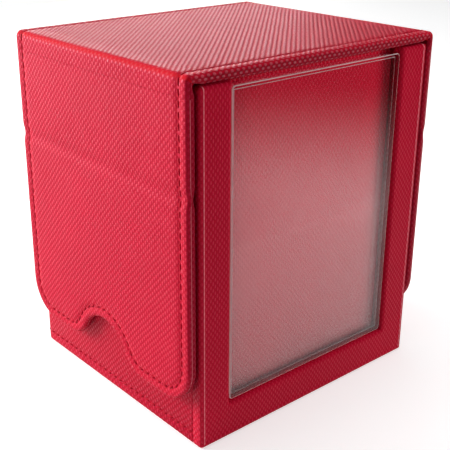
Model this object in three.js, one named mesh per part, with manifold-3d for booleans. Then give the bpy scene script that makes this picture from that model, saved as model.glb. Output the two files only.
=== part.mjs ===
// Card deck box with a saddle lid, closing magnets and a clear display case in its front.
// Units are millimetres. X runs along the window face, -Y is the window face, +Z is up.
// The origin is the middle of the footprint, on the surface that the box stands on.

import * as THREE from 'three';
import { mergeVertices } from 'three/addons/utils/BufferGeometryUtils.js';
import Module from 'manifold-3d';

// ---- Driving dimensions -------------------------------------------------------------------

const HEIGHT = 108;          // base to the top of the closed lid
const BOX_WIDTH = 88.4;      // body across X
const BOX_DEPTH = 84.4;      // body across Y
const LID_WIDTH = 96;        // across the outer faces of the two flaps
const LID_DEPTH = 83.4;      // lid strip across Y
const LID_THICKNESS = 3;     // every lid panel
const LID_LIFT = 0.3;        // air under the closed lid

const ARC_SEGMENTS = 8;      // facets in each drawn arc

const SKIN = 0.6;            // leatherette
const LINING = 0.6;          // microfibre
const WALL_BOARD = 2;        // greyboard in the body
const LID_BOARD = 1.7;       // greyboard in the lid
const GLUE = 0.05;           // glue line between laminated layers

const CREASE_Z = 76;         // height of the crease that crosses both flaps
const CREASE_GAP = 3;        // bare cloth between the two boards of a flap
const CREASE_DIP = 0.6;      // how far the cloth sinks below the flap's face there
const STRIP_SLACK = 0.35;    // air between a hinge strip and the panels beside it
const FLAP_BOTTOM_Z = 14;    // lower edge of both flaps
const FLAP_CORNER = 12;      // radius of the flaps' lower corners
const NOTCH_RADIUS = 12;     // finger notch in the opening flap
const NOTCH_FLARE = 10;      // radius that eases the notch into the flap's lower edge

const WINDOW_HALF = 33.3;    // half of the window's width
const WINDOW_SILL_Z = 11;    // top of the rail under the window
const POCKET_DEPTH = 5.05;   // front face to the backing behind the case
const RETURN_SKIN = 0.5;     // leatherette turned into the window

const CASE_WIDTH = 65.6;
const CASE_BOTTOM_Z = 11.6;
const CASE_TOP_Z = 103.2;
const CASE_RECESS = 1;       // case front behind the box's front face
const CASE_THICKNESS = 3.9;
const CASE_WALL = 1.1;
const CASE_BACK = 1;
const CASE_STEP = 0.6;       // raised field of the case back that locates the cover
const CASE_CORNER = 1.2;
const CASE_PLAY = 0.2;
const CASE_SEGMENTS = 4;

const MAGNET_RADIUS = 5;
const MAGNET_THICKNESS = 1.3;
const MAGNET_PLAY = 0.2;
const MAGNET_Y = 30;
const MAGNET_Z = 28;

// ---- Derived places -----------------------------------------------------------------------

const HALF_W = BOX_WIDTH / 2;
const HALF_D = BOX_DEPTH / 2;
const LID_HALF_W = LID_WIDTH / 2;
const LID_HALF_D = LID_DEPTH / 2;
const LID_UNDERSIDE = HEIGHT - LID_THICKNESS;
const BOX_TOP = LID_UNDERSIDE - LID_LIFT;
const PANEL_GAP = 0.3;
const FLAP_TOP = LID_UNDERSIDE - PANEL_GAP;
const FLAP_INNER = LID_HALF_W - LID_THICKNESS;
const UNDER_SKIN = SKIN + GLUE;
const WALL = UNDER_SKIN + WALL_BOARD + GLUE + LINING;
const BOARD_INNER = UNDER_SKIN + WALL_BOARD;
const BOARD_TOP = BOX_TOP - UNDER_SKIN;
const FLOOR_LINING_Z = BOARD_INNER + GLUE;
const FRONT = -HALF_D;
const POCKET_BACK = FRONT + POCKET_DEPTH;
const ROOM_FRONT = POCKET_BACK + WALL;
const ROOM_REAR = HALF_D - WALL;
const ROOM_HALF_W = HALF_W - WALL;
const CASE_FRONT = FRONT + CASE_RECESS;
const CASE_REAR = CASE_FRONT + CASE_THICKNESS;

// ---- Materials ----------------------------------------------------------------------------

const surface = (color, roughness, metalness) => new THREE.MeshStandardMaterial({ color, roughness, metalness });
const LEATHERETTE = surface(0xb5202f, 0.48, 0);
const MICROFIBRE = surface(0x6a1220, 0.95, 0);
const GREYBOARD = surface(0x8a8378, 0.9, 0);
const MAGNET_METAL = surface(0xb9bcc0, 0.25, 1);
const CLEAR = new THREE.MeshStandardMaterial({
  color: 0xe9eef2,
  roughness: 0.06,
  metalness: 0,
  transparent: true,
  opacity: 0.3,
});

// ---- Solids -------------------------------------------------------------------------------

const wasm = await Module();
wasm.setup();

function toManifold(geometry) {
  const bare = geometry.clone();
  bare.deleteAttribute('normal');
  bare.deleteAttribute('uv');
  const merged = mergeVertices(bare, 1e-4);
  const vertProperties = new Float32Array(merged.attributes.position.array);
  const triVerts = new Uint32Array(merged.index.array);
  return new wasm.Manifold(new wasm.Mesh({ numProp: 3, vertProperties, triVerts }));
}

function fromManifold(solid) {
  const mesh = solid.getMesh();
  const geometry = new THREE.BufferGeometry();
  geometry.setAttribute('position', new THREE.BufferAttribute(new Float32Array(mesh.vertProperties), 3));
  geometry.setIndex(new THREE.BufferAttribute(new Uint32Array(mesh.triVerts), 1));
  geometry.computeVertexNormals();
  return geometry;
}

function cut(geometry, ...tools) {
  const solid = tools.reduce((rest, tool) => rest.subtract(toManifold(tool)), toManifold(geometry));
  return fromManifold(solid);
}

function join(geometry, other) {
  return fromManifold(toManifold(geometry).add(toManifold(other)));
}

// Corners take their places exactly, so that faces meant to lie in one plane do.
function block([x0, x1], [y0, y1], [z0, z1]) {
  const geometry = new THREE.BoxGeometry(2, 2, 2);
  const corner = geometry.attributes.position;
  for (let i = 0; i < corner.count; i += 1) {
    const x = corner.getX(i) > 0 ? x1 : x0;
    const y = corner.getY(i) > 0 ? y1 : y0;
    const z = corner.getZ(i) > 0 ? z1 : z0;
    corner.setXYZ(i, x, y, z);
  }
  return geometry;
}

// A (y, z) outline, extruded from x0 to x1.
function alongX(shape, x0, x1, curveSegments = ARC_SEGMENTS) {
  const geometry = new THREE.ExtrudeGeometry(shape, { depth: x1 - x0, bevelEnabled: false, curveSegments });
  const axes = new THREE.Matrix4().makeBasis(
    new THREE.Vector3(0, 1, 0),
    new THREE.Vector3(0, 0, 1),
    new THREE.Vector3(1, 0, 0),
  );
  return geometry.applyMatrix4(axes).translate(x0, 0, 0);
}

// An (x, z) outline, extruded from y0 to y1.
function alongY(shape, y0, y1, curveSegments = ARC_SEGMENTS) {
  const geometry = new THREE.ExtrudeGeometry(shape, { depth: y1 - y0, bevelEnabled: false, curveSegments });
  return geometry.rotateX(Math.PI / 2).translate(0, y1, 0);
}

function polygon(points) {
  return new THREE.Shape(points.map(([u, v]) => new THREE.Vector2(u, v)));
}

function roundedRect(halfU, v0, v1, radius) {
  const shape = new THREE.Shape();
  shape.absarc(-halfU + radius, v0 + radius, radius, Math.PI, 1.5 * Math.PI);
  shape.absarc(halfU - radius, v0 + radius, radius, 1.5 * Math.PI, 2 * Math.PI);
  shape.absarc(halfU - radius, v1 - radius, radius, 0, 0.5 * Math.PI);
  shape.absarc(-halfU + radius, v1 - radius, radius, 0.5 * Math.PI, Math.PI);
  return shape;
}

const group = new THREE.Group();

function add(name, geometry, material) {
  const mesh = new THREE.Mesh(geometry, material);
  mesh.name = name;
  group.add(mesh);
}

// Moves a range measured on the +X side to the side that sign names.
function onSide(sign, low, high) {
  return sign > 0 ? [low, high] : [-high, -low];
}

// ---- Lid panels ---------------------------------------------------------------------------

// A lower flap in (y, z): round lower corners, and a flared finger notch where asked for.
// inset draws the same outline further in, for the board and the lining.
function flapOutline(top, inset, notched) {
  const half = LID_HALF_D - inset;
  const bottom = FLAP_BOTTOM_Z + inset;
  const corner = FLAP_CORNER - inset;
  const cornerY = LID_HALF_D - FLAP_CORNER;
  const cornerZ = FLAP_BOTTOM_Z + FLAP_CORNER;
  const shape = new THREE.Shape();
  shape.moveTo(-half, top - inset);
  shape.lineTo(-half, cornerZ);
  shape.absarc(-cornerY, cornerZ, corner, Math.PI, 1.5 * Math.PI);
  if (notched) {
    const reach = NOTCH_RADIUS + NOTCH_FLARE;
    const flareY = Math.sqrt(reach ** 2 - NOTCH_FLARE ** 2);
    const flareZ = FLAP_BOTTOM_Z + NOTCH_FLARE;
    const turn = Math.asin(NOTCH_FLARE / reach);
    shape.lineTo(-flareY, bottom);
    shape.absarc(-flareY, flareZ, NOTCH_FLARE - inset, -Math.PI / 2, -turn);
    shape.absarc(0, FLAP_BOTTOM_Z, NOTCH_RADIUS + inset, Math.PI - turn, turn, true);
    shape.absarc(flareY, flareZ, NOTCH_FLARE - inset, Math.PI + turn, 1.5 * Math.PI);
  }
  shape.absarc(cornerY, cornerZ, corner, 1.5 * Math.PI, 2 * Math.PI);
  shape.lineTo(half, top - inset);
  return shape;
}

function stripOutline(bottom, top, inset) {
  const half = LID_HALF_D - inset;
  return polygon([[-half, bottom + inset], [half, bottom + inset], [half, top - inset], [-half, top - inset]]);
}

// Skin turned round four edges, with the board and the lining inside it.
function addFlapPanel(name, sign, outline, magnets) {
  const skinX = onSide(sign, FLAP_INNER, LID_HALF_W);
  const pocketX = onSide(sign, FLAP_INNER - 1, LID_HALF_W - SKIN);
  const boardX = onSide(sign, FLAP_INNER + LINING + GLUE, LID_HALF_W - SKIN - GLUE);
  const liningX = onSide(sign, FLAP_INNER, FLAP_INNER + LINING);
  const cover = cut(alongX(outline(0), ...skinX), alongX(outline(SKIN), ...pocketX));
  add(`${name}_cover`, cover, LEATHERETTE);
  const board = alongX(outline(SKIN + GLUE), ...boardX);
  add(`${name}_board`, magnets ? cut(board, ...magnetHoles(boardX)) : board, GREYBOARD);
  add(`${name}_lining`, alongX(outline(SKIN + GLUE), ...liningX), MICROFIBRE);
}

function addFlap(name, sign, notched) {
  const lowerTop = CREASE_Z - CREASE_GAP / 2;
  const upperBottom = CREASE_Z + CREASE_GAP / 2;
  addFlapPanel(`${name}_lower`, sign, (inset) => flapOutline(lowerTop, inset, notched), true);
  addFlapPanel(`${name}_upper`, sign, (inset) => stripOutline(upperBottom, FLAP_TOP, inset), false);
  addMagnets(name, sign, LID_HALF_W - SKIN - GLUE - LID_BOARD / 2);
  const creaseX = onSide(sign, LID_HALF_W - CREASE_DIP - SKIN, LID_HALF_W - CREASE_DIP);
  const creaseHalf = CREASE_GAP / 2 - STRIP_SLACK;
  const creaseZ = [CREASE_Z - creaseHalf, CREASE_Z + creaseHalf];
  add(`${name}_crease_strip`, block(creaseX, [-LID_HALF_D, LID_HALF_D], creaseZ), LEATHERETTE);
  add(`${name}_fold_strip`, alongY(foldOutline(sign), -LID_HALF_D, LID_HALF_D), LEATHERETTE);
}

// Quarter round of cloth between the lid top and a flap, in (x, z).
function foldOutline(sign) {
  const centre = sign * FLAP_INNER;
  const start = sign > 0 ? 0 : Math.PI / 2;
  const end = start + Math.PI / 2;
  const shape = new THREE.Shape();
  shape.absarc(centre, LID_UNDERSIDE, LID_THICKNESS, start, end);
  shape.absarc(centre, LID_UNDERSIDE, LID_THICKNESS - SKIN, end, start, true);
  return shape;
}

function addLidTop() {
  const half = FLAP_INNER - PANEL_GAP;
  const inner = half - SKIN;
  const innerY = LID_HALF_D - SKIN;
  const outer = block([-half, half], [-LID_HALF_D, LID_HALF_D], [LID_UNDERSIDE, HEIGHT]);
  const pocket = block([-inner, inner], [-innerY, innerY], [LID_UNDERSIDE - 1, HEIGHT - SKIN]);
  add('lid_top_cover', cut(outer, pocket), LEATHERETTE);
  const boardX = [-inner + GLUE, inner - GLUE];
  const boardY = [-innerY + GLUE, innerY - GLUE];
  const liningTop = LID_UNDERSIDE + LINING;
  add('lid_top_board', block(boardX, boardY, [liningTop + GLUE, HEIGHT - SKIN - GLUE]), GREYBOARD);
  add('lid_top_lining', block(boardX, boardY, [LID_UNDERSIDE, liningTop]), MICROFIBRE);
}

// ---- Magnets ------------------------------------------------------------------------------

function discX(radius, x0, x1, y, z) {
  const geometry = new THREE.CylinderGeometry(radius, radius, x1 - x0, 32);
  return geometry.rotateZ(Math.PI / 2).translate((x0 + x1) / 2, y, z);
}

function magnetHoles([x0, x1]) {
  return [-1, 1].map((end) => discX(MAGNET_RADIUS + MAGNET_PLAY, x0 - 1, x1 + 1, end * MAGNET_Y, MAGNET_Z));
}

function addMagnets(name, sign, middle) {
  const span = onSide(sign, middle - MAGNET_THICKNESS / 2, middle + MAGNET_THICKNESS / 2);
  for (const [end, side] of [['front', -1], ['rear', 1]]) {
    add(`${name}_magnet_${end}`, discX(MAGNET_RADIUS, ...span, side * MAGNET_Y, MAGNET_Z), MAGNET_METAL);
  }
}

// ---- Box body -----------------------------------------------------------------------------

const fullHeight = [UNDER_SKIN, BOARD_TOP];
const liningHeight = [FLOOR_LINING_Z, BOARD_TOP];
const betweenSides = [-(HALF_W - BOARD_INNER - GLUE), HALF_W - BOARD_INNER - GLUE];
const betweenReturns = [-(ROOM_HALF_W - GLUE), ROOM_HALF_W - GLUE];
const topReturn = [BOX_TOP - SKIN, BOX_TOP];

// A side wall's skin is turned over the top of the board and the lining.
function addSideWall(name, sign) {
  const depth = [FRONT + UNDER_SKIN, HALF_D - UNDER_SKIN];
  const skin = block(onSide(sign, HALF_W - SKIN, HALF_W), depth, [UNDER_SKIN, BOX_TOP]);
  const cap = block(onSide(sign, ROOM_HALF_W, HALF_W - SKIN / 2), depth, topReturn);
  add(`${name}_cover`, join(skin, cap), LEATHERETTE);
  const boardX = onSide(sign, HALF_W - BOARD_INNER, HALF_W - UNDER_SKIN);
  add(`${name}_board`, cut(block(boardX, depth, fullHeight), ...magnetHoles(boardX)), GREYBOARD);
  const liningX = onSide(sign, ROOM_HALF_W, ROOM_HALF_W + LINING);
  const liningY = [ROOM_FRONT + GLUE, ROOM_REAR - GLUE];
  add(`${name}_lining`, block(liningX, liningY, liningHeight), MICROFIBRE);
  addMagnets(name, sign, HALF_W - UNDER_SKIN - WALL_BOARD / 2);
}

function addBackWall() {
  const sheet = block([-HALF_W, HALF_W], [HALF_D - SKIN, HALF_D], [UNDER_SKIN, BOX_TOP]);
  const cap = block(betweenReturns, [ROOM_REAR, HALF_D - SKIN / 2], topReturn);
  add('back_wall_cover', join(sheet, cap), LEATHERETTE);
  const boardY = [HALF_D - BOARD_INNER, HALF_D - UNDER_SKIN];
  add('back_wall_board', block(betweenSides, boardY, fullHeight), GREYBOARD);
  add('back_wall_lining', block(betweenSides, [ROOM_REAR, ROOM_REAR + LINING], liningHeight), MICROFIBRE);
}

function addFloor() {
  const footprint = [[-HALF_W, HALF_W], [-HALF_D, HALF_D]];
  add('floor_cover', block(...footprint, [0, SKIN]), LEATHERETTE);
  const boardY = [ROOM_FRONT - LINING, HALF_D - BOARD_INNER - GLUE];
  add('floor_board', block(betweenSides, boardY, [UNDER_SKIN, BOARD_INNER]), GREYBOARD);
  const liningY = [ROOM_FRONT + GLUE, ROOM_REAR - GLUE];
  add('floor_lining', block(betweenReturns, liningY, [FLOOR_LINING_Z, FLOOR_LINING_Z + LINING]), MICROFIBRE);
}

// Three rails stand round the display window, which is open at the top under the lid.
function addWindowRails() {
  const depth = [FRONT + UNDER_SKIN, POCKET_BACK - GLUE];
  const edge = WINDOW_HALF + RETURN_SKIN + GLUE;
  for (const [side, sign] of [['left', -1], ['right', 1]]) {
    const width = onSide(sign, edge, HALF_W - BOARD_INNER - GLUE);
    add(`window_${side}_rail`, block(width, depth, fullHeight), GREYBOARD);
  }
  const sill = WINDOW_SILL_Z - RETURN_SKIN - GLUE;
  add('window_bottom_rail', block([-edge + GLUE, edge - GLUE], depth, [UNDER_SKIN, sill]), GREYBOARD);
}

// The frame's skin covers the front, turns into the window and turns over the rails' tops.
function addWindowCover() {
  const edge = WINDOW_HALF + RETURN_SKIN;
  const rear = POCKET_BACK - GLUE;
  const behindSkin = [FRONT + SKIN, rear + 1];
  const sheet = block([-HALF_W, HALF_W], [FRONT, FRONT + SKIN], [UNDER_SKIN, BOX_TOP]);
  const lip = block(betweenReturns, [FRONT + SKIN / 2, rear], [WINDOW_SILL_Z - RETURN_SKIN, BOX_TOP]);
  const leftRail = block([-HALF_W, -edge], behindSkin, [0, BOX_TOP - SKIN]);
  const rightRail = block([edge, HALF_W], behindSkin, [0, BOX_TOP - SKIN]);
  const window = block([-WINDOW_HALF, WINDOW_HALF], [FRONT - 1, rear + 1], [WINDOW_SILL_Z, HEIGHT]);
  add('window_frame_cover', cut(join(sheet, lip), leftRail, rightRail, window), LEATHERETTE);
}

// Backing behind the display case: it is also the front wall of the card compartment.
function addDisplayBacking() {
  const sheet = block(betweenSides, [POCKET_BACK, POCKET_BACK + SKIN], fullHeight);
  const cap = block(betweenReturns, [POCKET_BACK, ROOM_FRONT], topReturn);
  const stem = block(betweenReturns, [POCKET_BACK, POCKET_BACK + SKIN], [BOARD_TOP - 1, BOX_TOP]);
  add('display_backing_cover', join(join(sheet, stem), cap), LEATHERETTE);
  const boardY = [POCKET_BACK + UNDER_SKIN, POCKET_BACK + BOARD_INNER];
  add('display_backing_board', block(betweenSides, boardY, fullHeight), GREYBOARD);
  add('front_wall_lining', block(betweenSides, [ROOM_FRONT - LINING, ROOM_FRONT], liningHeight), MICROFIBRE);
}

// ---- Display case -------------------------------------------------------------------------

// A clear two-part case: the cover is a shallow tray that fits round a step on the back.
function addDisplayCase() {
  const half = CASE_WIDTH / 2;
  const inner = half - CASE_WALL;
  const low = CASE_BOTTOM_Z;
  const high = CASE_TOP_Z;
  const wallIn = CASE_WALL;
  const backFace = CASE_REAR - CASE_BACK;
  const outline = roundedRect(half, low, high, CASE_CORNER);
  const cavity = block([-inner, inner], [CASE_FRONT + CASE_WALL, CASE_REAR], [low + wallIn, high - wallIn]);
  add('case_cover', cut(alongY(outline, CASE_FRONT, backFace - GLUE, CASE_SEGMENTS), cavity), CLEAR);
  const stepIn = wallIn + CASE_PLAY;
  const stepX = [-half + stepIn, half - stepIn];
  const step = block(stepX, [backFace - CASE_STEP, CASE_REAR - CASE_BACK / 2], [low + stepIn, high - stepIn]);
  add('case_back', join(alongY(outline, backFace, CASE_REAR, CASE_SEGMENTS), step), CLEAR);
}

// ---- Assembly -----------------------------------------------------------------------------

addFloor();
addSideWall('left_wall', -1);
addSideWall('right_wall', 1);
addBackWall();
addWindowRails();
addWindowCover();
addDisplayBacking();
addDisplayCase();
addLidTop();
addFlap('opening_flap', -1, true);
addFlap('hinge_flap', 1, false);

export default group;
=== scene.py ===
"""Card deck box: a red leatherette box with a creased saddle lid and a clear display case in its front."""

import math

import bmesh
import bpy
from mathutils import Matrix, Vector


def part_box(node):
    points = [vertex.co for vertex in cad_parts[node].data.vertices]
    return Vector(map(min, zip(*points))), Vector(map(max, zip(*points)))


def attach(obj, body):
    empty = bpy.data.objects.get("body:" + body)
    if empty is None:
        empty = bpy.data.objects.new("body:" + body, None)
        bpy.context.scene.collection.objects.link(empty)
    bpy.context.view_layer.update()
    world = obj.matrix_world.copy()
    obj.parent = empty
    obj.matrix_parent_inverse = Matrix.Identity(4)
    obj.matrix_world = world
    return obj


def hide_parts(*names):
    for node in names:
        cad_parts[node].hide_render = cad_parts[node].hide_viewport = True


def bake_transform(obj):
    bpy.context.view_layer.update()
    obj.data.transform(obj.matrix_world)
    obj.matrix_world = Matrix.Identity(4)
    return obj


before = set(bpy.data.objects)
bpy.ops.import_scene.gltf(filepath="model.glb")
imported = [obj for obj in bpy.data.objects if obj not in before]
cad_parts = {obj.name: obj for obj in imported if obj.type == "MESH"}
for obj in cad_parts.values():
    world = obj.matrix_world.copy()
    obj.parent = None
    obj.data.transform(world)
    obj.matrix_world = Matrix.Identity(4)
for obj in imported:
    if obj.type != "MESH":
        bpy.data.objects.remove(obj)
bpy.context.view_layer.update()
MM = 0.001
QUARTER = math.pi / 2  # a quarter turn

# ---- Places, read from the frame ----

LID_LOW, LID_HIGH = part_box("lid_top_cover")
FLAP_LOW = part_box("opening_flap_lower_cover")[0]
CREASE_LOW, CREASE_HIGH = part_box("opening_flap_crease_strip")
BODY_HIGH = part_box("floor_cover")[1]
WALL_LOW, WALL_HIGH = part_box("left_wall_cover")
BACKING_LOW, BACKING_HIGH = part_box("display_backing_cover")
RAIL_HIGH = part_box("window_left_rail")[1]
SILL_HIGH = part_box("window_bottom_rail")[1]

LID_TOP = LID_HIGH.z
LID_UNDER = LID_LOW.z
LID_T = LID_TOP - LID_UNDER
LID_HALF_D = LID_HIGH.y
LID_HALF_W = -FLAP_LOW.x
FLAP_INNER = LID_HALF_W - LID_T
FLAP_BOTTOM = FLAP_LOW.z
CREASE_Z = (CREASE_LOW.z + CREASE_HIGH.z) / 2
BODY_HALF_W = BODY_HIGH.x
BODY_HALF_D = BODY_HIGH.y
BODY_TOP = WALL_HIGH.z
WALL_T = WALL_HIGH.x - WALL_LOW.x
FRONT = -BODY_HALF_D
FRAME_REAR = RAIL_HIGH.y

# ---- Sizes that the frame doesn't say ----

LID_GRAIN = (1.86, 1.90)  # mm: the embossed lattice's pitch across and along the cloth
WALL_GRAIN = (1.97, 2.0)
FRONT_GRAIN = (1.53, 1.97)
CLOTH = 0.45 * MM
WELD = 0.002 * MM  # points nearer than this become one
ACROSS = (-1, -0.5, 0, 0.5, 1)  # places across a plain sheet, in half widths

# A panel's edge
EDGE_ROUND = 1.0 * MM  # radius of the wrapped edges
EDGE_RIDGE = 0.12 * MM
MARGIN = 7 * MM  # cloth turned in round a panel's edge
FLAT_INSET = 6 * MM  # where a panel's plain field begins
# Up a ridged side: (share of its height, share of the ridge, wear and painted highlight); at 1 a pale
# highlight line is painted along the side
SIDE_STEPS = ((0.55, 1.0, 0.0), (0.4, 0.9, 0.1), (0.28, 0.1, 1.0), (0.15, 0.0, 1.0))
PAINTED_SHADE_DEPTHS = (0.55 * MM, 1.1 * MM)  # between these depths below the face the painted shade comes in

# Stitches, and the groove that they lie in
STITCH_INSET = 3.4 * MM
STITCH_PITCH = 2.9 * MM
STITCH_LENGTH = 2.25 * MM
STITCH_WIDTH = 0.8 * MM
STITCH_HEIGHT = 0.42 * MM
STITCH_DIVE = 0.18 * MM  # how far a stitch's ends dive into the cloth
STITCH_SKEW = 0.12  # how much a stitch leans across its line
STITCH_STEPS = 6
STITCH_SIDES = 8
GROOVE_HALF = 0.75 * MM
GROOVE_DEPTH = 0.22 * MM
GROOVE = ((-1, 0), (-0.45, 1), (0.45, 1), (1, 0))  # section: (half widths across, share of depth)
STITCH_SUNK = 0.5 * GROOVE_DEPTH

# The lid's flaps, creases and folds
FLAP_CORNER = 12 * MM
NOTCH_RADIUS = 12 * MM
NOTCH_FLARE = 10 * MM
CORNER_STEPS = 14
FLARE_STEPS = 10
NOTCH_STEPS = 24
FLAP_SPLIT = FLAP_BOTTOM + 30 * MM  # a flap is rows of points above this, and rings below it
CREASE_DIP = 0.45 * MM
CREASE_HALF = 3.4 * MM
CREASE_PINCH = 2.1  # how much thinner a panel is at its crease, in dips
CREASE_BLEND = 1.6 * MM  # how far either side of the crease its cloth bends
FOLD_RADIUS = 2.0 * MM
FOLD_T = 2.4 * MM  # thickness of the cloth hinge in the fold
FOLD_EVEN = 1.0 * MM  # how far past its bend the fold keeps that thickness
FOLD_LEAD = 3 * MM  # flat stretch at either end of the fold's piece
FOLD_STEPS = 30
FOLD_BLEND = 1.8 * MM  # how far either side of the fold's corner its cloth bends
FOLD_RUN = 2 * (LID_T - FOLD_RADIUS) + FOLD_RADIUS * QUARTER
FLAP_SEAM_Z = LID_UNDER - FOLD_LEAD
TOP_SEAM_X = FLAP_INNER - FOLD_LEAD
TUCK = 0.08 * MM  # how far one piece's end is sunk under the next
TUCK_LENGTH = 0.8 * MM

# The lid's lining
LINING_INSET = 4.6 * MM
LINING_PROUD = 0.12 * MM
LINING_SUNK = 0.3 * MM  # how far the lining's edge reaches into the panel
LINING_BEVEL = 0.1 * MM
LINING_EDGE = 0.5 * MM
LINING_CLOTH = 0.25 * MM
LINING_SHORT = 0.6 * MM  # the lid's own lining stops this far before the fold
FOLD_LINING_CLOTH = 0.2 * MM
FOLD_LINING_GAP = 0.02 * MM
FOLD_LINING_BEND = 0.4 * MM
FOLD_LINING_START = 1.4 * MM
FOLD_LINING_ENDS = (0.4, 0.8, 1.25)  # its places down the flap, in FOLD_LEADs
INNER_BLEND = 0.5 * MM  # how far either side of the inner corner it bends

# The body's walls, and the upright seam between them and the window frame
WALL_CORNER = 2.4 * MM
WALL_ROUND = 1.5 * MM
WALL_MARGIN = 6 * MM
FOOT_ROUND = 0.9 * MM
UNDERSIDE_GAP = 0.25 * MM  # the walls stop just above the surface that the base stands on
BODY_STITCH_Z = 3.9 * MM
SEAM_Y = FRONT + 3.8 * MM
SEAM_DIP = 0.15 * MM
SEAM_EDGE = 0.35 * MM  # how near the seam the cloth starts to dip
SEAM_GAP = 0.02 * MM

# The window frame and the panel behind the clear case
FRAME_ROUND = 1.0 * MM
FRAME_TOP_ROUND = 1.2 * MM
FRAME_CORNER = 0.9 * MM
LEAST_CORNER = 0.05 * MM
RIDGE = 0.14 * MM  # the cloth stands up a little along the board's edge
# Over that ridge: (mm past the rounding, share of the ridge lost, wear and painted highlight); at 1 a pale
# highlight line is painted along the ridge
RIDGE_STEPS = ((0.15, 0, 1), (0.4, 0.15, 1), (0.7, 0.8, 0.4), (1.0, 1, 0), (1.5, 1, 0))
WINDOW_COVER = 0.55 * MM  # cloth on the rails' inner edges
WINDOW_HALF = -RAIL_HIGH.x - WINDOW_COVER
WINDOW_SILL = SILL_HIGH.z + WINDOW_COVER
WINDOW_ROUND = 1.1 * MM
WINDOW_CORNER = 0.5 * MM
WINDOW_EDGE = 0.5 * MM  # from the rounding to the plain field
BACKING_LIFT = 0.1 * MM
BACKING_MARGIN = 7 * MM  # how far the cloth hangs down into the room
BACKING_OVER = 9 * MM  # the cloth's length from the top to that end

# Flat plates: the base and the room's linings
PLATE_EDGE = 0.5 * MM  # from a plate's rounding to its plain field
PLATE_T = 0.6 * MM
BASE_ROUND = 0.3 * MM
BASE_INSET = 1 * MM
BASE_CORNER = 2 * MM
LINING_ROUND = 0.4 * MM
LINING_CORNER = 1 * MM
LINING_TOP = BODY_TOP - WALL_MARGIN + 0.8 * MM

# The clear case
CASE_WALL = 1.1 * MM
CASE_CORNER = 1.2 * MM
CASE_LEAST_CORNER = 0.15 * MM
CASE_EDGE = 0.28 * MM
CASE_INNER_EDGE = 0.24 * MM
CASE_GAP = 0.05 * MM  # between the cover's rim and the back plate
CASE_PLAY = 0.2 * MM  # round the back plate's raised field


def smoothstep(low, high, value):
    t = min(1.0, max(0.0, (value - low) / (high - low)))
    return t * t * (3 - 2 * t)


def turns(steps, whole=QUARTER):
    """Angles from 0 to whole, in even steps."""
    return [whole * i / steps for i in range(steps + 1)]


def rounding(r, steps):
    """A quarter round of radius r: (in from its last face, in from its first, run, bulge)."""
    return [(r - r * math.cos(a), r - r * math.sin(a), r * a, math.sin(2 * a)) for a in turns(steps)]


# ---- Mesh helpers ----


def new_object(name, bm, material, smooth=True):
    mesh = bpy.data.meshes.new(name)
    bm.to_mesh(mesh)
    bm.free()
    obj = bpy.data.objects.new(name, mesh)
    bpy.context.scene.collection.objects.link(obj)
    mesh.materials.append(material)
    if smooth:
        mesh.shade_smooth()
    return obj


def apply_modifiers(obj):
    depsgraph = bpy.context.evaluated_depsgraph_get()
    mesh = bpy.data.meshes.new_from_object(obj.evaluated_get(depsgraph))
    obj.modifiers.clear()
    obj.data = mesh
    return obj


def outward(bm):
    """Turns every face outwards, as seen from the middle of the piece."""
    middle = sum((v.co for v in bm.verts), Vector()) / len(bm.verts)
    facing = sum(f.calc_area() * f.normal.dot(f.calc_center_median() - middle) for f in bm.faces)
    if facing < 0:
        bmesh.ops.reverse_faces(bm, faces=bm.faces)


def join_rings(bm, rings, closed=True):
    """Faces between each line of vertices and the next. A closed line comes back to its start."""
    for low, high in zip(rings, rings[1:]):
        count = len(low)
        for i in range(count if closed else count - 1):
            j = (i + 1) % count
            bm.faces.new((low[i], low[j], high[j], high[i]))


def cap_rings(bm, rings):
    bm.faces.new(rings[0][::-1])
    bm.faces.new(rings[-1])


class Sheet:
    """A sheet of cloth under construction: points with a place on the flat cloth, a value for wear and
    painted highlight, and a painted shade value.
    """

    def __init__(self, pitch=(1.0, 1.0)):
        self.pitch = (pitch[0] * MM, pitch[1] * MM)
        self.bm = bmesh.new()
        self.flat = self.bm.verts.layers.float_vector.new("flat")
        self.wear_and_highlight = self.bm.verts.layers.float.new("wear_and_highlight")
        self.painted_shade = self.bm.verts.layers.float.new("painted_shade")

    def row(self, points):
        """Adds points, each ((x, y, z), (u, v), wear and painted highlight) and maybe a painted shade, and
        returns their vertices.
        """
        made = []
        for place, (u, v), wear_and_highlight, *painted_shade in points:
            vert = self.bm.verts.new(place)
            vert[self.painted_shade] = painted_shade[0] if painted_shade else 0.0
            vert[self.flat] = (u, v, 0)
            vert[self.wear_and_highlight] = wear_and_highlight
            made.append(vert)
        return made

    def lay(self, rows, closed=False):
        """Adds rows of points and joins each row to the next."""
        made = [self.row(points) for points in rows]
        join_rings(self.bm, made, closed)
        return made

    def lay_cloth(self):
        """Stores each point's place on the flat cloth, counted in grain pitches."""
        uv = self.bm.loops.layers.uv.new("cloth")
        for face in self.bm.faces:
            for loop in face.loops:
                flat = loop.vert[self.flat]
                loop[uv].uv = (flat.x / self.pitch[0], flat.y / self.pitch[1])

    def finish(self, name, material, thickness=CLOTH):
        """Joins doubled points, gives the sheet its thickness inwards, and makes the object."""
        bmesh.ops.remove_doubles(self.bm, verts=self.bm.verts, dist=WELD)
        bmesh.ops.recalc_face_normals(self.bm, faces=self.bm.faces)
        outward(self.bm)
        self.lay_cloth()
        obj = new_object(name, self.bm, material)
        solid = obj.modifiers.new("thickness", "SOLIDIFY")
        solid.thickness = thickness
        solid.offset = -1
        return apply_modifiers(obj)


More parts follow.
